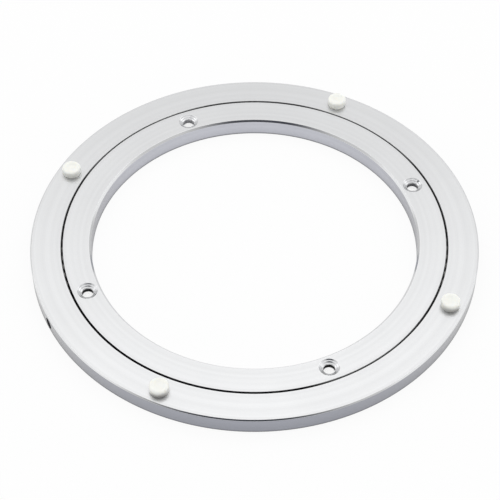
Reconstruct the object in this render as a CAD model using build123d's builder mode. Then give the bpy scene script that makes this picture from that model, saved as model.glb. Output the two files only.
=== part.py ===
"""Lazy susan bearing: two flat aluminium rings that turn on one row of balls.

Lengths are in millimetres and angles in degrees. The bearing lies with its mounting
face on the XY plane and its pads up, and it turns about the Z axis.
"""

import os
from math import cos, radians, sin, sqrt

from build123d import *

os.makedirs("parts", exist_ok=True)

# Rings
BORE_DIAMETER = 145.9
INNER_RING_WIDTH = 12.75
OUTER_RING_WIDTH = 13.7
RING_GAP = 0.6
OUTER_RING_HEIGHT = 8.5
BOARD_CLEARANCE = 0.3
RIM_CHAMFER = 0.6

# Balls: these few, spread evenly, hold the places of the full row
BALL_DIAMETER = 4.7625
BALL_COUNT = 3
RACE_CLEARANCE = 0.05

# Screw holes in the inner ring
SCREW_COUNT = 4
SCREW_START_ANGLE = 23.1
SCREW_INSET = 6.2
SCREW_HOLE_DIAMETER = 5.0
COUNTERSINK_DIAMETER = 9.0
COUNTERSINK_ANGLE = 90.0

# Pads set into round pockets in the top of the outer ring
PAD_COUNT = 4
PAD_START_ANGLE = 64.7
PAD_INSET = 6.75
PAD_DIAMETER = 8.4
PAD_HEIGHT = 3.6
PAD_CHAMFER = 1.0
PAD_CLEARANCE = 0.05
POCKET_DEPTH = 1.2

# Loading hole in the rim, which lets a ball through, and the plug that closes it
LOADING_ANGLE = 207.2
LOADING_CLEARANCE = 0.12
PLUG_CLEARANCE = 0.05
PLUG_RECESS = 0.3
PLUG_CHAMFER = 0.3

# Radii, worked out from the bore outwards
bore_radius = BORE_DIAMETER / 2
inner_lip_radius = bore_radius + INNER_RING_WIDTH
pitch_radius = inner_lip_radius + RING_GAP / 2
outer_lip_radius = inner_lip_radius + RING_GAP
outer_radius = outer_lip_radius + OUTER_RING_WIDTH
screw_circle_radius = bore_radius + SCREW_INSET
pad_circle_radius = outer_radius - PAD_INSET

# Heights: the inner ring stands on the board, the outer ring turns clear of it, and their tops are level
outer_ring_base = BOARD_CLEARANCE
ring_top = outer_ring_base + OUTER_RING_HEIGHT
race_height = outer_ring_base + OUTER_RING_HEIGHT / 2

# Raceways: right-angled grooves, so that a ball meets each ring on two flanks
ball_radius = BALL_DIAMETER / 2
groove_reach = (ball_radius + RACE_CLEARANCE) * sqrt(2)


def groove_section(side):
    """Corners of a raceway groove in the XZ plane. Side is 1 in the outer ring and -1 in the inner ring."""
    return [
        (pitch_radius, race_height - groove_reach),
        (pitch_radius + side * groove_reach, race_height),
        (pitch_radius, race_height + groove_reach),
    ]


# Outer ring: the turning half, with the loading hole and the pad pockets
loading_direction = (cos(radians(LOADING_ANGLE)), sin(radians(LOADING_ANGLE)), 0)
loading_plane = Plane((0, 0, race_height), x_dir=(0, 0, 1), z_dir=loading_direction)
loading_radius = ball_radius + LOADING_CLEARANCE
pad_radius = PAD_DIAMETER / 2

with BuildPart() as outer_ring:
    with BuildSketch(Plane.XZ) as outer_section:
        with Locations((outer_lip_radius, outer_ring_base)):
            Rectangle(OUTER_RING_WIDTH, OUTER_RING_HEIGHT, align=Align.MIN)
        chamfer(outer_section.vertices().group_by(Axis.X)[-1], RIM_CHAMFER)
    revolve(axis=Axis.Z)
    with BuildSketch(Plane.XZ):
        with BuildLine():
            Polyline(groove_section(1), close=True)
        make_face()
    revolve(axis=Axis.Z, mode=Mode.SUBTRACT)
    with BuildSketch(loading_plane.offset(outer_radius)):
        Circle(loading_radius)
    extrude(amount=-OUTER_RING_WIDTH, mode=Mode.SUBTRACT)
    with Locations((0, 0, ring_top)):
        with PolarLocations(pad_circle_radius, PAD_COUNT, start_angle=PAD_START_ANGLE):
            Hole(pad_radius + PAD_CLEARANCE, depth=POCKET_DEPTH)
outer_ring.part.label = "outer_ring"
export_step(outer_ring.part, "parts/outer_ring.step")

# Inner ring: the half that is screwed down, through countersunk holes
with BuildPart() as inner_ring:
    with BuildSketch(Plane.XZ) as inner_section:
        with Locations((bore_radius, 0)):
            Rectangle(INNER_RING_WIDTH, ring_top, align=Align.MIN)
        chamfer(inner_section.vertices().group_by(Axis.X)[0], RIM_CHAMFER)
    revolve(axis=Axis.Z)
    with BuildSketch(Plane.XZ):
        with BuildLine():
            Polyline(groove_section(-1), close=True)
        make_face()
    revolve(axis=Axis.Z, mode=Mode.SUBTRACT)
    with Locations((0, 0, ring_top)):
        with PolarLocations(screw_circle_radius, SCREW_COUNT, start_angle=SCREW_START_ANGLE):
            CounterSinkHole(
                SCREW_HOLE_DIAMETER / 2,
                COUNTERSINK_DIAMETER / 2,
                counter_sink_angle=COUNTERSINK_ANGLE,
            )
inner_ring.part.label = "inner_ring"
export_step(inner_ring.part, "parts/inner_ring.step")

# Balls: a loose row between the two grooves
with BuildPart() as bearing_balls:
    with Locations((0, 0, race_height)):
        with PolarLocations(pitch_radius, BALL_COUNT):
            Sphere(ball_radius)
bearing_balls.part.label = "bearing_balls"
export_step(bearing_balls.part, "parts/bearing_balls.step")

# Plug: fills the loading hole, and its nose carries the groove across it
plug_face_radius = outer_radius - PLUG_RECESS

with BuildPart() as loading_plug:
    with BuildSketch(loading_plane.offset(plug_face_radius)):
        Circle(loading_radius - PLUG_CLEARANCE)
    extrude(amount=pitch_radius - plug_face_radius)
    chamfer(loading_plug.edges().sort_by_distance((0, 0, race_height))[-1], PLUG_CHAMFER)
    with BuildSketch(Plane.XZ):
        with BuildLine():
            Polyline(groove_section(1), close=True)
        make_face()
    revolve(axis=Axis.Z, mode=Mode.SUBTRACT)
loading_plug.part.label = "loading_plug"
export_step(loading_plug.part, "parts/loading_plug.step")

# Pads: round buttons that sit on the floors of their pockets and stand proud of the ring
pad_places = PolarLocations(pad_circle_radius, PAD_COUNT, start_angle=PAD_START_ANGLE)

for number, place in enumerate(pad_places, start=1):
    pocket_floor = Plane.XY.offset(ring_top - POCKET_DEPTH) * place
    with BuildPart() as pad:
        with BuildSketch(pocket_floor):
            Circle(pad_radius)
        extrude(amount=POCKET_DEPTH + PAD_HEIGHT)
        chamfer(pad.edges().group_by(Axis.Z)[-1], PAD_CHAMFER)
    pad.part.label = f"pad_{number}"
    export_step(pad.part, f"parts/pad_{number}.step")
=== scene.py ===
"""Looks of the lazy susan bearing: turned aluminium rings, white pads, a black plug and steel balls.

Lengths are in metres and angles in degrees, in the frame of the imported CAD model. The front is -Y.
"""

import math

import bmesh
import bpy
from mathutils import Matrix, Vector


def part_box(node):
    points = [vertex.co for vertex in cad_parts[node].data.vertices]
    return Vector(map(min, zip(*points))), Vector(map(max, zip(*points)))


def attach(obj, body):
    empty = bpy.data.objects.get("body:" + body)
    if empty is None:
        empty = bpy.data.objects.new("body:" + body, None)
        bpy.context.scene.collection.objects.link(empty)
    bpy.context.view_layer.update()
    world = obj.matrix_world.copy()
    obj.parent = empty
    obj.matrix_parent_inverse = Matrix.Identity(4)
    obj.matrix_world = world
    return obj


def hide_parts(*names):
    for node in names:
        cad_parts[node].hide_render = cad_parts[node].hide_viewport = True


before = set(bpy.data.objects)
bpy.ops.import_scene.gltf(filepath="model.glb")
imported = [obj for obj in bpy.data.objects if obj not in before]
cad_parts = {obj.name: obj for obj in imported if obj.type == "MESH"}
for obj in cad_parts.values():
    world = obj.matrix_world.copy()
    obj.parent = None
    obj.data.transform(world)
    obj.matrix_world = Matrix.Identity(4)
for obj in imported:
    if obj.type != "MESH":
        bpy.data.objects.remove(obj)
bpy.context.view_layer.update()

MM = 0.001

# Sizes and places of the part, as in its source
SCREW_COUNT = 4
SCREW_START = 23.1
SCREW_CIRCLE_RADIUS = 79.15 * MM
SCREW_HOLE_RADIUS = 2.5 * MM
COUNTERSINK_RADIUS = 4.5 * MM
PAD_COUNT = 4
PAD_START = 64.7
PAD_CIRCLE_RADIUS = 93.25 * MM
PAD_RADIUS = 4.2 * MM
LOADING_ANGLE = 207.2
LOADING_CLEARANCE = 0.12 * MM

# How far the raceway grooves reach from the middle of the ball row
GROOVE_REACH = 3.438 * MM

# Edges of the rings. Each rounded edge has a support line close beside it
RIM_CHAMFER = 0.5 * MM
BORE_CHAMFER = 0.82 * MM
CHAMFER_ROUND = 0.12 * MM
FOOT_ROUND = 0.8 * MM
GAP_ROUND = 0.24 * MM
SUPPORT = 0.04 * MM
POCKET_CHAMFER = 0.06 * MM
LOADING_CHAMFER = 0.12 * MM

# Screw holes: radius and depth of each turned step of the countersink, from the hole outwards
COUNTERSINK_STEPS = (
    (SCREW_HOLE_RADIUS, 1.72 * MM),
    (2.62 * MM, 1.25 * MM),
    (3.06 * MM, 1.05 * MM),
    (3.52 * MM, 0.643 * MM),
    (3.90 * MM, 0.474 * MM),
    (4.38 * MM, 0.05 * MM),
)

# Height at which the upper wall of a screw hole, darkened with painted shade, starts
THROAT_BASE = 5.2 * MM

# Cutters reach past the faces that they cut, and the countersinks flare a little there
CUTTER_OVERSHOOT = 1.0 * MM
CUTTER_FLARE = 0.02 * MM

# Pads: drawn in at the foot, where a pocket holds them, and rounded and slightly dished on top
POCKET_RADIUS = 4.05 * MM
PAD_NECK_RADIUS = 4.02 * MM
PAD_FOOT_CHAMFER = 0.2 * MM
PAD_BULGE_HEIGHT = 0.8 * MM
PAD_ROUND = 0.95 * MM
PAD_DISH = 0.40 * MM

# Share of the way in to the middle of a pad over which its dish slopes
DISH_SLOPE_SHARE = 0.625

# Balls: the full row
BALL_TOTAL = 108

# Fineness of the meshes
RING_SEGMENTS = 720
HOLE_SEGMENTS = 96
PAD_SEGMENTS = 96
ARC_STEPS = 8
BULGE_STEPS = 6
ROUND_STEPS = 12
DISH_STEPS = 8
BALL_SUBDIVISIONS = 4
SHARP_ANGLE = 16.0

# Zones of the rings, each with its own finish
FACE, RIM, BORE, EDGE, RACE, SINK, THROAT, HOLE = range(8)

# Noise: most of it lies in this range, and its detail is soft or rich
NOISE_LOW = 0.25
NOISE_HIGH = 0.75
SOFT_DETAIL = 2.0
RICH_DETAIL = 3.0

# Turned metal: fine and broad rings, clouds and specks
FINE_RING_SCALE = 5200.0
BROAD_RING_SCALE = 420.0
CLOUD_SCALE = 38.0
SPECK_SCALE = 1500.0
FINE_RING_WEIGHT = 0.38
BROAD_RING_WEIGHT = 0.30
CLOUD_WEIGHT = 0.17
SPECK_WEIGHT = 0.15
ROUGHNESS_SWING = 0.03
RING_BUMP = 0.12
RING_BUMP_DEPTH = 0.008 * MM
COAT_IOR = 1.7
COAT_ROUGHNESS = 0.2
NO_TINT = (1.0, 1.0, 1.0)
FACE_COLOUR = (0.636, 0.640, 0.646)
# The rim is a darker copy of the face aluminium: painted shade for the shadowed floor that it mirrors
RIM_SHADED_COLOUR = (0.318, 0.330, 0.386)
RIM_GRAZING_TINT = (1.0, 0.98, 0.90)
BORE_COLOUR = (0.600, 0.609, 0.660)
BORE_GRAZING_TINT = (0.84, 0.83, 0.79)
EDGE_COLOUR = (0.660, 0.665, 0.672)
SINK_COLOUR = (0.700, 0.705, 0.715)
# The lower hole walls: a nearly white copy of the aluminium, painted light so that the holes look white
# inside
HOLE_LIT_COLOUR = (0.960, 0.960, 0.960)

# Painted shade at the feet of the rings, where their contact shadow falls
FOOT_SHADE_LOW = 0.2 * MM
RIM_SHADE_HIGH = 2.3 * MM
BORE_SHADE_HIGH = 1.6 * MM
FOOT_SHADE_SHARE = 0.35

# Grease in the raceways, where it is also painted shade for the gap, and painted shade with the finish of
# grease in the upper part of the screw holes
GREASE_SCALE = 600.0
GREASE_ROUGHNESS_LOW = 0.4
GREASE_ROUGHNESS_HIGH = 0.6
GREASE_GLOSS = 0.12
GREASE_BUMP = 0.2
GREASE_BUMP_DEPTH = 0.03 * MM
RACE_GREASE_AND_SHADE_COLOUR = (0.012, 0.012, 0.014)
RACE_BARE_COLOUR = (0.60, 0.605, 0.61)
THROAT_SHADE_COLOUR = (0.016, 0.016, 0.018)
THROAT_LIGHTER_COLOUR = (0.40, 0.40, 0.42)
THROAT_LIGHTER_LOW = 0.7
THROAT_LIGHTER_HIGH = 1.1
THROAT_NEAR = -20.0 * MM
THROAT_FAR = 75.0 * MM

# Where the dark grease and painted shade at the gap give way to bare metal: middle, half width and strength
# of each patch
WIPED_PATCHES = (
    (10.0, 50.0, 0.22),
    (52.0, 26.0, 1.0),
    (95.0, 40.0, 0.2),
    (130.0, 30.0, 1.0),
    (168.0, 32.0, 0.22),
    (306.0, 22.0, 1.0),
    (335.0, 25.0, 0.22),
)

# Share of a patch's half width at full strength, and how far the smears lower and raise that strength
WIPED_CORE = 0.25
WIPED_LOW = 0.75
WIPED_HIGH = 1.0

# One small dark spot in the right-hand countersink
DARK_SPOT_PLACE = Vector((75.48, 33.65, 8.40)) * MM
DARK_SPOT_REACH = 0.62 * MM
DARK_SPOT_CORE = 0.34 * MM
DARK_SPOT_COLOUR = (0.10, 0.10, 0.11)

# Pad plastic
PAD_GRAIN_SCALE = 2600.0
PAD_CLOUD_SCALE = 160.0
PAD_LOW_COLOUR = (0.90, 0.905, 0.855)
PAD_HIGH_COLOUR = (0.93, 0.935, 0.885)
PAD_ROUGHNESS_LOW = 0.42
PAD_ROUGHNESS_HIGH = 0.52
PAD_SUBSURFACE = 0.4
PAD_SUBSURFACE_RADIUS = (1.0, 0.95, 0.85)
PAD_SUBSURFACE_SCALE = 1.2 * MM
PAD_BUMP = 0.1
PAD_BUMP_DEPTH = 0.02 * MM

# Painted shade on the pads: heights above the ring's top, shares that are left, and facings as the Y of the
# normal
PAD_SHADE_COLOUR = (0.32, 0.316, 0.305)
PAD_FOOT_SHADE = 1.0 * MM
PAD_SIDE_SHADE_LOW = 0.6 * MM
PAD_SIDE_SHADE_HIGH = 3.5 * MM
PAD_FAR_SHARE = 0.2
PAD_FLANK_SHARE = 0.1
PAD_FLANK_FACING = -0.3
PAD_FRONT_FACING = -0.95

# Plug plastic
PLUG_GRAIN_SCALE = 1800.0
PLUG_LOW_COLOUR = (0.004, 0.004, 0.008)
PLUG_HIGH_COLOUR = (0.010, 0.010, 0.016)
PLUG_ROUGHNESS_LOW = 0.5
PLUG_ROUGHNESS_HIGH = 0.62
PLUG_GLOSS = 0.1
PLUG_BUMP = 0.15
PLUG_BUMP_DEPTH = 0.03 * MM

# Ball steel
BALL_SMEAR_SCALE = 700.0
BALL_LOW_COLOUR = (0.13, 0.127, 0.12)
BALL_HIGH_COLOUR = (0.30, 0.295, 0.285)
BALL_ROUGHNESS_LOW = 0.18
BALL_ROUGHNESS_HIGH = 0.32

# Camera, found from the ellipses of the rings in the photograph
CAMERA_PLACE = Vector((-1.8505, -489.94, 569.20)) * MM
CAMERA_TILT = 40.691
CAMERA_YAW = 0.0172
CAMERA_ROLL = -0.2282
CAMERA_LENS = 119.835
SENSOR_WIDTH = 36.0
CLIP_START = 0.01
CLIP_END = 100.0

# Studio: a white tent, brighter at its sides and overhead, with a dark opening in front
TENT_LOW_COLOUR = (0.80, 0.80, 0.80)
TENT_HIGH_COLOUR = (1.10, 1.10, 1.10)
TENT_RISE_START = 34.0
TENT_RISE_END = 70.0
SIDE_COLOUR = (1.20, 1.20, 1.20)
SIDE_WIDE = 54.0
SIDE_FULL = 66.0
SIDE_FADE_START = 24.0
SIDE_FADE_END = 34.0
OPENING_COLOUR = (0.06, 0.063, 0.08)
OPENING_AZIMUTH = -5.5
OPENING_FULL = 16.0
OPENING_WIDE = 61.0
OPENING_LOW = 27.0
OPENING_HIGH = 48.5
OPENING_SOFTNESS = 7.0
LEAST_LENGTH = 0.001
SOFTBOX_HEIGHT = 1.6
SOFTBOX_WIDTH = 3.4
SOFTBOX_DEPTH = 1.02
SOFTBOX_BACK = 0.93
SOFTBOX_POWER = 6.9

# Floor: how much of it glows when seen or mirrored, its contact shade, and the radii under the rings
FLOOR_SIZE = 30.0
FLOOR_DROP = 0.1 * MM
FLOOR_COLOUR = (0.9, 0.9, 0.9)
FLOOR_GLOW = 0.92
MIRRORED_GLOW = 0.5
CONTACT_REACH = 1.6 * MM
CONTACT_SAMPLES = 8
UNDER_START = 75.0 * MM
UNDER_END = 98.0 * MM
BLACK = (0.0, 0.0, 0.0)
WHITE = (1.0, 1.0, 1.0)


# Sizes taken from the frame

def radii(node):
    """Smallest and largest distance of a CAD node from the turning axis."""
    distances = [vertex.co.xy.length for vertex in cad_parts[node].data.vertices]
    return min(distances), max(distances)


bore_radius, inner_lip_radius = radii("inner_ring")
outer_lip_radius, outer_radius = radii("outer_ring")
pitch_radius = (inner_lip_radius + outer_lip_radius) / 2
outer_low, outer_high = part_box("outer_ring")
outer_base = outer_low.z
ring_top = outer_high.z
pad_low, pad_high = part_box("pad_1")
pocket_floor = pad_low.z
pad_top = pad_high.z
ball_low, ball_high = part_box("bearing_balls")
ball_radius = (ball_high.z - ball_low.z) / 2
race_height = (ball_high.z + ball_low.z) / 2
groove_half = GROOVE_REACH - (outer_lip_radius - pitch_radius)
loading_radius = ball_radius + LOADING_CLEARANCE


# Meshes

def rounded_section(corners):
    """A closed section from corners (radius, height, round, zone), each rounded by an arc.

    The zone is that of the side which leaves the corner. An arc beside an EDGE side is EDGE too, and any
    other arc has the later zone of its two sides. The result is a list of (radius, height, zone).
    """
    section = []
    count = len(corners)
    for index, (radius, height, round_size, zone) in enumerate(corners):
        if round_size == 0:
            section.append((radius, height, zone))
            continue
        corner = Vector((radius, height))
        zone_before = corners[index - 1][3]
        arc_zone = EDGE if EDGE in (zone, zone_before) else max(zone, zone_before)
        before = (Vector(corners[index - 1][:2]) - corner).normalized()
        after = (Vector(corners[(index + 1) % count][:2]) - corner).normalized()
        half = before.angle(after) / 2
        reach = round_size / math.tan(half)
        centre = corner + (before + after).normalized() * (round_size / math.sin(half))
        start = (corner + before * reach - centre).normalized()
        end = (corner + after * reach - centre).normalized()
        section.append((*(corner + before * (reach + SUPPORT)), zone_before))
        for step in range(ARC_STEPS):
            outwards = start.slerp(end, step / ARC_STEPS).normalized()
            section.append((*(centre + outwards * round_size), arc_zone))
        section.append((*(centre + end * round_size), zone))
        section.append((*(corner + after * (reach + SUPPORT)), zone))
    return section


def polar(radius, angle, height):
    """A point from its radius, its angle in degrees and its height."""
    turn = math.radians(angle)
    return Vector((radius * math.cos(turn), radius * math.sin(turn), height))


def spaced(count, start):
    """Angles of a number of places spread evenly round the axis."""
    return [start + 360 * number / count for number in range(count)]


def mesh_object(name, mesh):
    """An object in the scene from a finished bmesh."""
    data = bpy.data.meshes.new(name)
    mesh.to_mesh(data)
    mesh.free()
    piece = bpy.data.objects.new(name, data)
    bpy.context.scene.collection.objects.link(piece)
    return piece


def lathe(name, section, segments, closed):
    """A mesh object turned about Z from a section of (radius, height, zone) points.

    A closed section goes round on itself; an open one starts and ends on the axis. Each band of
    faces has the zone of the point it starts from as its material slot.
    """
    mesh = bmesh.new()
    rows = []
    for radius, height, zone in section:
        if radius == 0:
            rows.append([mesh.verts.new((0.0, 0.0, height))])
        else:
            rows.append([mesh.verts.new(polar(radius, angle, height)) for angle in spaced(segments, 0.0)])
    bands = list(zip(rows, rows[1:], section))
    if closed:
        bands.append((rows[-1], rows[0], section[-1]))
    for low, high, point in bands:
        for segment in range(segments):
            following = (segment + 1) % segments
            if len(low) == 1:
                face = mesh.faces.new((low[0], high[following], high[segment]))
            elif len(high) == 1:
                face = mesh.faces.new((low[segment], low[following], high[0]))
            else:
                face = mesh.faces.new((low[segment], low[following], high[following], high[segment]))
            face.material_index = point[2]
    bmesh.ops.recalc_face_normals(mesh, faces=mesh.faces)
    return mesh_object(name, mesh)


def ring_cutter(name, section, place):
    """A turned cutter that stands at a place and leaves the zones of its section on what it cuts."""
    tool = lathe(name, section, HOLE_SEGMENTS, closed=False)
    tool.matrix_world = place
    dress_zones(tool, ring_metals)
    return tool


def cut(piece, cutters):
    """Takes the cutters out of the piece, and removes them."""
    for tool in cutters:
        change = piece.modifiers.new("cut", "BOOLEAN")
        change.operation = "DIFFERENCE"
        change.solver = "MANIFOLD"
        change.object = tool
        change.material_mode = "TRANSFER"
    bpy.context.view_layer.update()
    evaluated = piece.evaluated_get(bpy.context.evaluated_depsgraph_get())
    result = bpy.data.meshes.new_from_object(evaluated)
    piece.modifiers.clear()
    old = piece.data
    piece.data = result
    bpy.data.meshes.remove(old)
    for tool in cutters:
        bpy.data.objects.remove(tool)


def shade(piece):
    """Smooth shading that keeps the turned edges crisp."""
    piece.data.shade_smooth()
    piece.data.set_sharp_from_angle(angle=math.radians(SHARP_ANGLE))


def dress(piece, material):
    """Gives every slot of a piece the one material."""
    if not piece.data.materials:
        piece.data.materials.append(material)
    for index in range(len(piece.data.materials)):
        piece.data.materials[index] = material


def dress_zones(piece, materials):
    """Gives each zone of a piece its own material."""
    for material in materials:
        piece.data.materials.append(material)


# Node trees

class Nodes:
    """A short way to write a node tree. A value is a socket, a number or a colour."""

    def __init__(self, tree):
        self.tree = tree

    def add(self, kind, **settings):
        """A new node with its settings."""
        node = self.tree.nodes.new(kind)
        for setting, value in settings.items():
            setattr(node, setting, value)
        return node

    def link(self, source, target):
        """Joins an output to an input."""
        self.tree.links.new(source, target)

    def fill(self, target, value):
        """Links a socket to an input, or writes a number or a colour into it."""
        if isinstance(value, bpy.types.NodeSocket):
            self.link(value, target)
        elif isinstance(value, (int, float)):
            target.default_value = value
        else:
            target.default_value = (*value, 1.0)

    def math(self, operation, *values):
        """One math node."""
        node = self.add("ShaderNodeMath", operation=operation)
        for target, value in zip(node.inputs, values):
            self.fill(target, value)
        return node.outputs[0]

    def largest(self, *values):
        """The largest of the values."""
        result = values[0]
        for value in values[1:]:
            result = self.math("MAXIMUM", result, value)
        return result

    def weighted(self, *pairs):
        """Sum of values, each times its weight."""
        parts = [self.math("MULTIPLY", value, weight) for value, weight in pairs]
        total = parts[0]
        for part in parts[1:]:
            total = self.math("ADD", total, part)
        return total

    def level_length(self, x, y):
        """Length of the level part of a vector."""
        squares = self.math("ADD", self.math("MULTIPLY", x, x), self.math("MULTIPLY", y, y))
        return self.math("SQRT", squares)

    def coordinate(self, kind):
        """One kind of texture coordinate."""
        return self.add("ShaderNodeTexCoord").outputs[kind]

    def split(self, vector):
        """The X, Y and Z of a vector."""
        node = self.add("ShaderNodeSeparateXYZ")
        self.link(vector, node.inputs[0])
        return node.outputs

    def noise(self, scale, detail):
        """Noise in space, fixed to the piece."""
        node = self.add("ShaderNodeTexNoise")
        node.inputs["Scale"].default_value = scale
        node.inputs["Detail"].default_value = detail
        self.link(self.coordinate("Object"), node.inputs["Vector"])
        return node.outputs["Fac"]

    def noise_along(self, value, scale, detail):
        """Noise that changes with one value only."""
        node = self.add("ShaderNodeTexNoise", noise_dimensions="1D")
        node.inputs["Scale"].default_value = scale
        node.inputs["Detail"].default_value = detail
        self.link(value, node.inputs["W"])
        return node.outputs["Fac"]

    def remap(self, value, start, end, low, high, kind):
        """Low up to start, high from end on, and a straight or smooth way between."""
        node = self.add("ShaderNodeMapRange", interpolation_type=kind)
        node.inputs["From Min"].default_value = start
        node.inputs["From Max"].default_value = end
        node.inputs["To Min"].default_value = low
        node.inputs["To Max"].default_value = high
        self.link(value, node.inputs["Value"])
        return node.outputs["Result"]

    def spread(self, noise, low, high):
        """Takes a noise, from the range where most of it lies, to low-high."""
        return self.remap(noise, NOISE_LOW, NOISE_HIGH, low, high, "LINEAR")

    def step(self, value, start, end, kind="SMOOTHSTEP"):
        """Zero up to start, one from end on."""
        return self.remap(value, start, end, 0.0, 1.0, kind)

    def colours(self, factor, low, high):
        """Low where the factor is zero, high where it is one."""
        node = self.add("ShaderNodeMix", data_type="RGBA")
        factor_input, low_input, high_input = node.inputs[0], node.inputs[6], node.inputs[7]
        self.link(factor, factor_input)
        self.fill(low_input, low)
        self.fill(high_input, high)
        return node.outputs[2]

    def shaders(self, factor, low, high):
        """One shader where the factor is zero, the other where it is one."""
        node = self.add("ShaderNodeMixShader")
        for target, source in zip(node.inputs, (factor, low, high)):
            self.link(source, target)
        return node.outputs[0]


class Finish(Nodes):
    """The node tree of a material with one principled shader."""

    def __init__(self, name):
        self.material = bpy.data.materials.new(name)
        self.material.use_nodes = True
        super().__init__(self.material.node_tree)
        self.shader = self.tree.nodes["Principled BSDF"]

    def paint(self, socket, source):
        """Links a value to an input of the shader."""
        self.link(source, self.shader.inputs[socket])

    def set(self, socket, value):
        """Writes a constant into an input of the shader."""
        self.shader.inputs[socket].default_value = value

    def bump(self, height, strength, depth):
        """Fine relief from a height."""
        node = self.add("ShaderNodeBump")
        node.inputs["Strength"].default_value = strength
        node.inputs["Distance"].default_value = depth
        self.link(height, node.inputs["Height"])
        self.paint("Normal", node.outputs["Normal"])


# Materials

def painted_foot_shade(nodes, clean, shade_colour, height):
    """A colour that goes over to the painted shade colour below the height, down to the foot of a ring."""
    z = nodes.split(nodes.coordinate("Object"))["Z"]
    return nodes.colours(nodes.step(z, FOOT_SHADE_LOW, height), shade_colour, clean)


def with_dark_spot(nodes, clean, middle):
    """A colour with one small dark spot about a point."""
    away = nodes.add("ShaderNodeVectorMath", operation="DISTANCE")
    away.inputs[1].default_value = middle
    nodes.link(nodes.coordinate("Object"), away.inputs[0])
    return nodes.colours(nodes.step(away.outputs["Value"], DARK_SPOT_REACH, DARK_SPOT_CORE), clean, DARK_SPOT_COLOUR)


def turned_aluminium(
    name, colour, variation, roughness, coat=0.0, grazing=NO_TINT, shade_height=0.0, dark_spot=None
):
    """Satin metal with the fine rings that a lathe leaves, a little uneven from place to place.

    Variation is the share by which the colour goes up and down. The coat is the clear layer of
    anodising. Grazing tints what the metal mirrors at a flat angle. Below the shade height the foot is
    darker with painted shade, where the contact shadow falls. A small dark spot lies about the dark
    spot point, where one is given.
    """
    nodes = Finish(name)
    x, y, z = nodes.split(nodes.coordinate("Object"))
    tool_path = nodes.math("ADD", nodes.level_length(x, y), z)
    fine_rings = nodes.noise_along(tool_path, FINE_RING_SCALE, RICH_DETAIL)
    broad_rings = nodes.noise_along(tool_path, BROAD_RING_SCALE, SOFT_DETAIL)
    clouds = nodes.noise(CLOUD_SCALE, RICH_DETAIL)
    specks = nodes.noise(SPECK_SCALE, SOFT_DETAIL)
    mixed = nodes.weighted(
        (fine_rings, FINE_RING_WEIGHT),
        (broad_rings, BROAD_RING_WEIGHT),
        (clouds, CLOUD_WEIGHT),
        (specks, SPECK_WEIGHT),
    )
    darker = [channel * (1 - variation) for channel in colour]
    lighter = [channel * (1 + variation) for channel in colour]
    metal = nodes.colours(nodes.spread(mixed, 0.0, 1.0), darker, lighter)
    # Painted shade: the foot goes darker below the shade height, where the contact shadow falls
    if shade_height > 0:
        shade_colour = [channel * FOOT_SHADE_SHARE for channel in colour]
        metal = painted_foot_shade(nodes, metal, shade_colour, shade_height)
    # A small dark spot about a given point
    if dark_spot is not None:
        metal = with_dark_spot(nodes, metal, dark_spot)
    nodes.paint("Base Color", metal)
    nodes.paint("Roughness", nodes.spread(mixed, roughness + ROUGHNESS_SWING, roughness - ROUGHNESS_SWING))
    nodes.set("Metallic", 1.0)
    nodes.set("Specular Tint", (*grazing, 1.0))
    nodes.set("Coat Weight", coat)
    nodes.set("Coat IOR", COAT_IOR)
    nodes.set("Coat Roughness", COAT_ROUGHNESS)
    nodes.bump(fine_rings, RING_BUMP, RING_BUMP_DEPTH)
    return nodes.material


def grease_surface(nodes, smears):
    """Roughness, gloss and bump of a surface with smears of grease on it."""
    nodes.paint("Roughness", nodes.spread(smears, GREASE_ROUGHNESS_LOW, GREASE_ROUGHNESS_HIGH))
    nodes.set("Specular IOR Level", GREASE_GLOSS)
    nodes.bump(smears, GREASE_BUMP, GREASE_BUMP_DEPTH)


def wiped_patch(nodes, middle, half_width, strength):
    """Strength in the middle of a patch of the gap, fading to zero at its ends."""
    x, y, z = nodes.split(nodes.coordinate("Object"))
    turn = math.radians(middle)
    towards_middle = nodes.weighted((x, math.cos(turn)), (y, math.sin(turn)))
    closeness = nodes.math("DIVIDE", towards_middle, nodes.level_length(x, y))
    end = math.cos(math.radians(half_width))
    core = math.cos(math.radians(half_width * WIPED_CORE))
    return nodes.math("MULTIPLY", nodes.step(closeness, end, core), strength)


def greased_race_and_gap_shade():
    """The lips and grooves that the balls run in: dark grease that is also painted shade for the narrow gap,
    and bare metal where it is wiped off.
    """
    nodes = Finish("greased_race_and_gap_shade")
    smears = nodes.noise(GREASE_SCALE, RICH_DETAIL)
    wiped = nodes.largest(*[wiped_patch(nodes, *patch) for patch in WIPED_PATCHES])
    lighter_share = nodes.math("MULTIPLY", wiped, nodes.spread(smears, WIPED_LOW, WIPED_HIGH))
    # Dark grease and painted shade in the gap, bare metal in the wiped patches
    nodes.paint("Base Color", nodes.colours(lighter_share, RACE_GREASE_AND_SHADE_COLOUR, RACE_BARE_COLOUR))
    nodes.paint("Metallic", lighter_share)
    grease_surface(nodes, smears)
    return nodes.material


def throat_painted_shade():
    """The upper wall of the screw holes: painted shade, dark at the front of the bearing and less at the
    back, with the finish of grease.
    """
    nodes = Finish("throat_painted_shade")
    y = nodes.split(nodes.coordinate("Object"))["Y"]
    far = nodes.step(y, THROAT_NEAR, THROAT_FAR, "LINEAR")
    smears = nodes.noise(GREASE_SCALE, RICH_DETAIL)
    lighter_share = nodes.math("MULTIPLY", far, nodes.spread(smears, THROAT_LIGHTER_LOW, THROAT_LIGHTER_HIGH))
    # Painted shade: dark on the upper hole wall, lighter towards the back of the bearing
    nodes.paint("Base Color", nodes.colours(lighter_share, THROAT_SHADE_COLOUR, THROAT_LIGHTER_COLOUR))
    grease_surface(nodes, smears)
    return nodes.material


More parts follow.
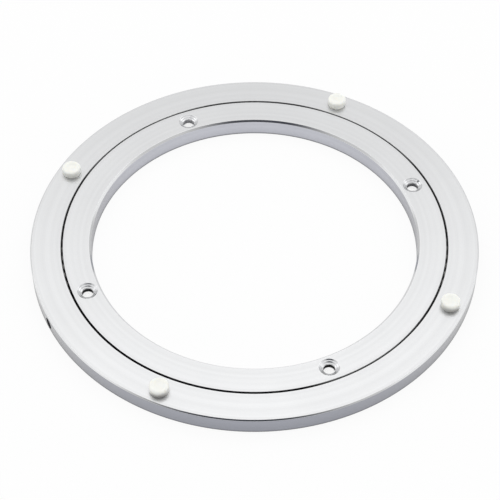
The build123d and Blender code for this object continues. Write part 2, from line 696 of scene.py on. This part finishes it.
def pad_painted_shade(nodes):
    """Share of painted shade on the pads: at the foot, and up the front of the near ones."""
    x, y, z = nodes.split(nodes.coordinate("Object"))
    normal_y = nodes.split(nodes.coordinate("Normal"))["Y"]
    near = nodes.step(y, PAD_CIRCLE_RADIUS, -PAD_CIRCLE_RADIUS, "LINEAR")
    at_foot = nodes.step(z, ring_top + PAD_FOOT_SHADE, ring_top)
    at_side = nodes.step(z, ring_top + PAD_SIDE_SHADE_HIGH, ring_top + PAD_SIDE_SHADE_LOW)
    foot = nodes.math("MULTIPLY", at_foot, nodes.largest(near, PAD_FAR_SHARE))
    side = nodes.math("MULTIPLY", at_side, near)
    front = nodes.largest(nodes.step(normal_y, PAD_FLANK_FACING, PAD_FRONT_FACING), PAD_FLANK_SHARE)
    return nodes.math("MULTIPLY", nodes.largest(foot, side), front)


def pad_plastic():
    """White moulded plastic with a fine grain, with painted shade near the ring."""
    nodes = Finish("pad_plastic")
    grain = nodes.noise(PAD_GRAIN_SCALE, RICH_DETAIL)
    clouds = nodes.noise(PAD_CLOUD_SCALE, SOFT_DETAIL)
    clean = nodes.colours(nodes.spread(clouds, 0.0, 1.0), PAD_LOW_COLOUR, PAD_HIGH_COLOUR)
    # Painted shade on the pads, darkest at the front of the foot and on the near pads
    nodes.paint("Base Color", nodes.colours(pad_painted_shade(nodes), clean, PAD_SHADE_COLOUR))
    nodes.paint("Roughness", nodes.spread(grain, PAD_ROUGHNESS_LOW, PAD_ROUGHNESS_HIGH))
    nodes.set("Subsurface Weight", PAD_SUBSURFACE)
    nodes.set("Subsurface Radius", PAD_SUBSURFACE_RADIUS)
    nodes.set("Subsurface Scale", PAD_SUBSURFACE_SCALE)
    nodes.bump(grain, PAD_BUMP, PAD_BUMP_DEPTH)
    return nodes.material


def plug_plastic():
    """Black plastic, matt, with a fine grain."""
    nodes = Finish("plug_plastic")
    grain = nodes.noise(PLUG_GRAIN_SCALE, RICH_DETAIL)
    black = nodes.colours(nodes.spread(grain, 0.0, 1.0), PLUG_LOW_COLOUR, PLUG_HIGH_COLOUR)
    nodes.paint("Base Color", black)
    nodes.paint("Roughness", nodes.spread(grain, PLUG_ROUGHNESS_LOW, PLUG_ROUGHNESS_HIGH))
    nodes.set("Specular IOR Level", PLUG_GLOSS)
    nodes.bump(grain, PLUG_BUMP, PLUG_BUMP_DEPTH)
    return nodes.material


def ball_steel():
    """Polished bearing steel under a film of dark grease."""
    nodes = Finish("ball_steel")
    smears = nodes.noise(BALL_SMEAR_SCALE, SOFT_DETAIL)
    greased = nodes.colours(nodes.spread(smears, 0.0, 1.0), BALL_LOW_COLOUR, BALL_HIGH_COLOUR)
    nodes.paint("Base Color", greased)
    nodes.paint("Roughness", nodes.spread(smears, BALL_ROUGHNESS_HIGH, BALL_ROUGHNESS_LOW))
    nodes.set("Metallic", 1.0)
    return nodes.material


# One material for each zone of the rings, in the order of the zones
ring_metals = [
    turned_aluminium("aluminium_face", FACE_COLOUR, variation=0.085, roughness=0.36),
    # The rim: a darker copy of the aluminium as painted shade, with painted shade at its foot as well
    turned_aluminium(
        "aluminium_rim",
        RIM_SHADED_COLOUR,
        variation=0.10,
        roughness=0.34,
        coat=1.0,
        grazing=RIM_GRAZING_TINT,
        shade_height=RIM_SHADE_HIGH,
    ),
    turned_aluminium(
        "aluminium_bore",
        BORE_COLOUR,
        variation=0.10,
        roughness=0.32,
        grazing=BORE_GRAZING_TINT,
        shade_height=BORE_SHADE_HIGH,
    ),
    turned_aluminium("aluminium_edge", EDGE_COLOUR, variation=0.05, roughness=0.10),
    greased_race_and_gap_shade(),
    turned_aluminium("aluminium_countersink", SINK_COLOUR, variation=0.08, roughness=0.16, dark_spot=DARK_SPOT_PLACE),
    throat_painted_shade(),
    # Lower hole walls: a lighter copy of the aluminium, painted light
    turned_aluminium("aluminium_hole", HOLE_LIT_COLOUR, variation=0.02, roughness=0.30),
]
pad_white = pad_plastic()
plug_black = plug_plastic()
steel = ball_steel()

# Inner ring, with its screw holes
inner_section = rounded_section([
    (bore_radius, 0.0, FOOT_ROUND, FACE),
    (inner_lip_radius, 0.0, GAP_ROUND, RACE),
    (inner_lip_radius, race_height - groove_half, 0, RACE),
    (pitch_radius - GROOVE_REACH, race_height, 0, RACE),
    (inner_lip_radius, race_height + groove_half, 0, RACE),
    (inner_lip_radius, ring_top, GAP_ROUND, FACE),
    (bore_radius + BORE_CHAMFER, ring_top, CHAMFER_ROUND, EDGE),
    (bore_radius, ring_top - BORE_CHAMFER, CHAMFER_ROUND, BORE),
])
screw_section = [
    (0.0, -CUTTER_OVERSHOOT, HOLE),
    (SCREW_HOLE_RADIUS, -CUTTER_OVERSHOOT, HOLE),
    (SCREW_HOLE_RADIUS, THROAT_BASE, THROAT),
    *[(radius, ring_top - depth, SINK) for radius, depth in COUNTERSINK_STEPS],
    (COUNTERSINK_RADIUS, ring_top, SINK),
    (COUNTERSINK_RADIUS + CUTTER_FLARE, ring_top + CUTTER_OVERSHOOT, SINK),
    (0.0, ring_top + CUTTER_OVERSHOOT, SINK),
]
screw_cutters = []
for angle in spaced(SCREW_COUNT, SCREW_START):
    place = Matrix.Translation(polar(SCREW_CIRCLE_RADIUS, angle, 0.0))
    screw_cutters.append(ring_cutter("screw_cutter", screw_section, place))

inner_ring = lathe("inner_ring_turned", inner_section, RING_SEGMENTS, closed=True)
dress_zones(inner_ring, ring_metals)
cut(inner_ring, screw_cutters)
shade(inner_ring)
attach(inner_ring, "inner")
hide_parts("inner_ring")

# Outer ring, with its pad pockets and its loading hole
outer_section = rounded_section([
    (outer_lip_radius, outer_base, GAP_ROUND, FACE),
    (outer_radius, outer_base, FOOT_ROUND, RIM),
    (outer_radius, ring_top - RIM_CHAMFER, CHAMFER_ROUND, EDGE),
    (outer_radius - RIM_CHAMFER, ring_top, CHAMFER_ROUND, FACE),
    (outer_lip_radius, ring_top, GAP_ROUND, RACE),
    (outer_lip_radius, race_height + groove_half, 0, RACE),
    (pitch_radius + GROOVE_REACH, race_height, 0, RACE),
    (outer_lip_radius, race_height - groove_half, 0, RACE),
])
pocket_section = [
    (0.0, pocket_floor, FACE),
    (POCKET_RADIUS, pocket_floor, FACE),
    (POCKET_RADIUS, ring_top - POCKET_CHAMFER, EDGE),
    (POCKET_RADIUS + POCKET_CHAMFER, ring_top, EDGE),
    (POCKET_RADIUS + POCKET_CHAMFER, ring_top + CUTTER_OVERSHOOT, FACE),
    (0.0, ring_top + CUTTER_OVERSHOOT, FACE),
]
loading_section = [
    (0.0, pitch_radius, RACE),
    (loading_radius, pitch_radius, RACE),
    (loading_radius, outer_radius - LOADING_CHAMFER, RACE),
    (loading_radius + LOADING_CHAMFER, outer_radius, RACE),
    (loading_radius + LOADING_CHAMFER, outer_radius + CUTTER_OVERSHOOT, EDGE),
    (0.0, outer_radius + CUTTER_OVERSHOOT, EDGE),
]
outer_cutters = []
for angle in spaced(PAD_COUNT, PAD_START):
    place = Matrix.Translation(polar(PAD_CIRCLE_RADIUS, angle, 0.0))
    outer_cutters.append(ring_cutter("pocket_cutter", pocket_section, place))
loading_place = (
    Matrix.Translation((0.0, 0.0, race_height))
    @ Matrix.Rotation(math.radians(LOADING_ANGLE), 4, "Z")
    @ Matrix.Rotation(math.radians(90), 4, "Y")
)
outer_cutters.append(ring_cutter("loading_cutter", loading_section, loading_place))

outer_ring = lathe("outer_ring_turned", outer_section, RING_SEGMENTS, closed=True)
dress_zones(outer_ring, ring_metals)
cut(outer_ring, outer_cutters)
shade(outer_ring)
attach(outer_ring, "outer")
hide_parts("outer_ring")

# Pads
pad_section = [
    (0.0, pocket_floor, 0),
    (PAD_NECK_RADIUS - PAD_FOOT_CHAMFER, pocket_floor, 0),
    (PAD_NECK_RADIUS, pocket_floor + PAD_FOOT_CHAMFER, 0),
]
for step in range(BULGE_STEPS + 1):
    share = step / BULGE_STEPS
    radius = PAD_RADIUS - (PAD_RADIUS - PAD_NECK_RADIUS) * (1 - share) ** 2
    pad_section.append((radius, ring_top + PAD_BULGE_HEIGHT * share, 0))
round_centre = Vector((PAD_RADIUS - PAD_ROUND, pad_top - PAD_ROUND))
for step in range(ROUND_STEPS + 1):
    turn = math.radians(90 * step / ROUND_STEPS)
    outwards = Vector((math.cos(turn), math.sin(turn)))
    pad_section.append((*(round_centre + PAD_ROUND * outwards), 0))
for step in range(1, DISH_STEPS + 1):
    share = step / DISH_STEPS
    slope = min(1.0, share / DISH_SLOPE_SHARE)
    dip = PAD_DISH * (1 - math.cos(math.pi * slope)) / 2
    pad_section.append((round_centre.x * (1 - share), pad_top - dip, 0))

for number, angle in enumerate(spaced(PAD_COUNT, PAD_START), start=1):
    pad = lathe(f"pad_{number}_button", pad_section, PAD_SEGMENTS, closed=False)
    pad.data.transform(Matrix.Translation(polar(PAD_CIRCLE_RADIUS, angle, 0.0)))
    dress(pad, pad_white)
    shade(pad)
    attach(pad, "outer")
    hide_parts(f"pad_{number}")

# Balls: the full row, of which the CAD model holds three
row = bmesh.new()
for angle in spaced(BALL_TOTAL, 0.0):
    place = Matrix.Translation(polar(pitch_radius, angle, race_height))
    bmesh.ops.create_icosphere(row, subdivisions=BALL_SUBDIVISIONS, radius=ball_radius, matrix=place)
ball_row = mesh_object("ball_row_full", row)
ball_row.data.shade_smooth()
dress(ball_row, steel)
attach(ball_row, "ball_row")
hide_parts("bearing_balls")

# Plug: the CAD node itself, with its own material
dress(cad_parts["loading_plug"], plug_black)


# Floor

def floor_paper():
    """Paper that the camera sees as almost pure white, with a faint shadow of the part on it.

    What the metal mirrors of the paper is darker, most of all close to the part. The walls of the screw
    holes mirror the paper under the rings, and there it is white.
    """
    material = bpy.data.materials.new("floor_paper")
    material.use_nodes = True
    nodes = Nodes(material.node_tree)
    nodes.tree.nodes.clear()
    paper = nodes.add("ShaderNodeBsdfDiffuse")
    nodes.fill(paper.inputs["Color"], FLOOR_COLOUR)
    glow = nodes.add("ShaderNodeEmission")
    nodes.fill(glow.inputs["Color"], WHITE)
    shadow = nodes.add("ShaderNodeBsdfDiffuse")
    nodes.fill(shadow.inputs["Color"], BLACK)
    contact = nodes.add("ShaderNodeAmbientOcclusion", samples=CONTACT_SAMPLES)
    contact.inputs["Distance"].default_value = CONTACT_REACH
    rays = nodes.add("ShaderNodeLightPath")
    mirrored = rays.outputs["Is Glossy Ray"]
    seen = nodes.largest(rays.outputs["Is Camera Ray"], rays.outputs["Is Transmission Ray"])
    from_middle = nodes.add("ShaderNodeVectorMath", operation="LENGTH")
    nodes.link(nodes.add("ShaderNodeNewGeometry").outputs["Position"], from_middle.inputs[0])
    past_start = nodes.math("GREATER_THAN", from_middle.outputs["Value"], UNDER_START)
    before_end = nodes.math("LESS_THAN", from_middle.outputs["Value"], UNDER_END)
    under_glow = nodes.math("MULTIPLY", nodes.math("MULTIPLY", past_start, before_end), mirrored)
    seen_glow = nodes.math("MULTIPLY", seen, FLOOR_GLOW)
    mirrored_glow = nodes.math("MULTIPLY", mirrored, MIRRORED_GLOW)
    glow_share = nodes.largest(seen_glow, mirrored_glow, under_glow)
    lit_share = nodes.largest(contact.outputs["AO"], seen, under_glow)
    white_paper = nodes.shaders(glow_share, paper.outputs[0], glow.outputs[0])
    shaded_paper = nodes.shaders(lit_share, shadow.outputs[0], white_paper)
    surface = nodes.add("ShaderNodeOutputMaterial")
    nodes.link(shaded_paper, surface.inputs["Surface"])
    return material


floor_sheet = bmesh.new()
bmesh.ops.create_grid(floor_sheet, x_segments=1, y_segments=1, size=FLOOR_SIZE / 2)
floor = mesh_object("floor", floor_sheet)
floor.location.z = -FLOOR_DROP
dress(floor, floor_paper())


# Light

def sine(angle):
    """Sine of an angle in degrees."""
    return math.sin(math.radians(angle))


def studio_world():
    """A white tent, brighter at its sides and overhead, whose opening in front of the object is dark."""
    world = bpy.data.worlds.new("studio")
    world.use_nodes = True
    nodes = Nodes(world.node_tree)
    x, y, z = nodes.split(nodes.coordinate("Generated"))
    level = nodes.largest(nodes.level_length(x, y), LEAST_LENGTH)
    rise = nodes.step(z, sine(TENT_RISE_START), sine(TENT_RISE_END))
    tent = nodes.colours(rise, TENT_LOW_COLOUR, TENT_HIGH_COLOUR)

    sideways = nodes.math("DIVIDE", nodes.math("ABSOLUTE", x), level)
    at_sides = nodes.step(sideways, sine(SIDE_WIDE), sine(SIDE_FULL))
    under_fade = nodes.step(z, sine(SIDE_FADE_END), sine(SIDE_FADE_START))
    lit_tent = nodes.colours(nodes.math("MULTIPLY", at_sides, under_fade), tent, SIDE_COLOUR)

    turn = math.radians(OPENING_AZIMUTH)
    towards_opening = nodes.weighted((x, math.sin(turn)), (y, -math.cos(turn)))
    off_middle = nodes.math("ARCCOSINE", nodes.math("DIVIDE", towards_opening, level))
    between_sides = nodes.step(off_middle, math.radians(OPENING_WIDE), math.radians(OPENING_FULL))
    soft = OPENING_SOFTNESS / 2
    over_sill = nodes.step(z, sine(OPENING_LOW - soft), sine(OPENING_LOW + soft))
    over_top = nodes.step(z, sine(OPENING_HIGH - soft), sine(OPENING_HIGH + soft))
    in_height = nodes.math("SUBTRACT", over_sill, over_top)
    in_opening = nodes.math("MULTIPLY", between_sides, in_height)
    opened_tent = nodes.colours(in_opening, lit_tent, OPENING_COLOUR)
    nodes.link(opened_tent, nodes.tree.nodes["Background"].inputs["Color"])
    return world


bpy.context.scene.world = studio_world()

softbox_light = bpy.data.lights.new("softbox", "AREA")
softbox_light.shape = "RECTANGLE"
softbox_light.size = SOFTBOX_WIDTH
softbox_light.size_y = SOFTBOX_DEPTH
softbox_light.energy = SOFTBOX_POWER
softbox = bpy.data.objects.new("softbox", softbox_light)
softbox.location = (0.0, SOFTBOX_BACK, SOFTBOX_HEIGHT)
bpy.context.scene.collection.objects.link(softbox)

# Camera
camera_data = bpy.data.cameras.new("camera")
camera_data.sensor_width = SENSOR_WIDTH
camera_data.lens = CAMERA_LENS
camera_data.clip_start = CLIP_START
camera_data.clip_end = CLIP_END
camera = bpy.data.objects.new("camera", camera_data)
camera.matrix_world = (
    Matrix.Translation(CAMERA_PLACE)
    @ Matrix.Rotation(math.radians(CAMERA_YAW), 4, "Z")
    @ Matrix.Rotation(math.radians(CAMERA_TILT), 4, "X")
    @ Matrix.Rotation(math.radians(CAMERA_ROLL), 4, "Z")
)
bpy.context.scene.collection.objects.link(camera)
bpy.context.scene.camera = camera
bpy.context.scene.view_settings.view_transform = "Standard"
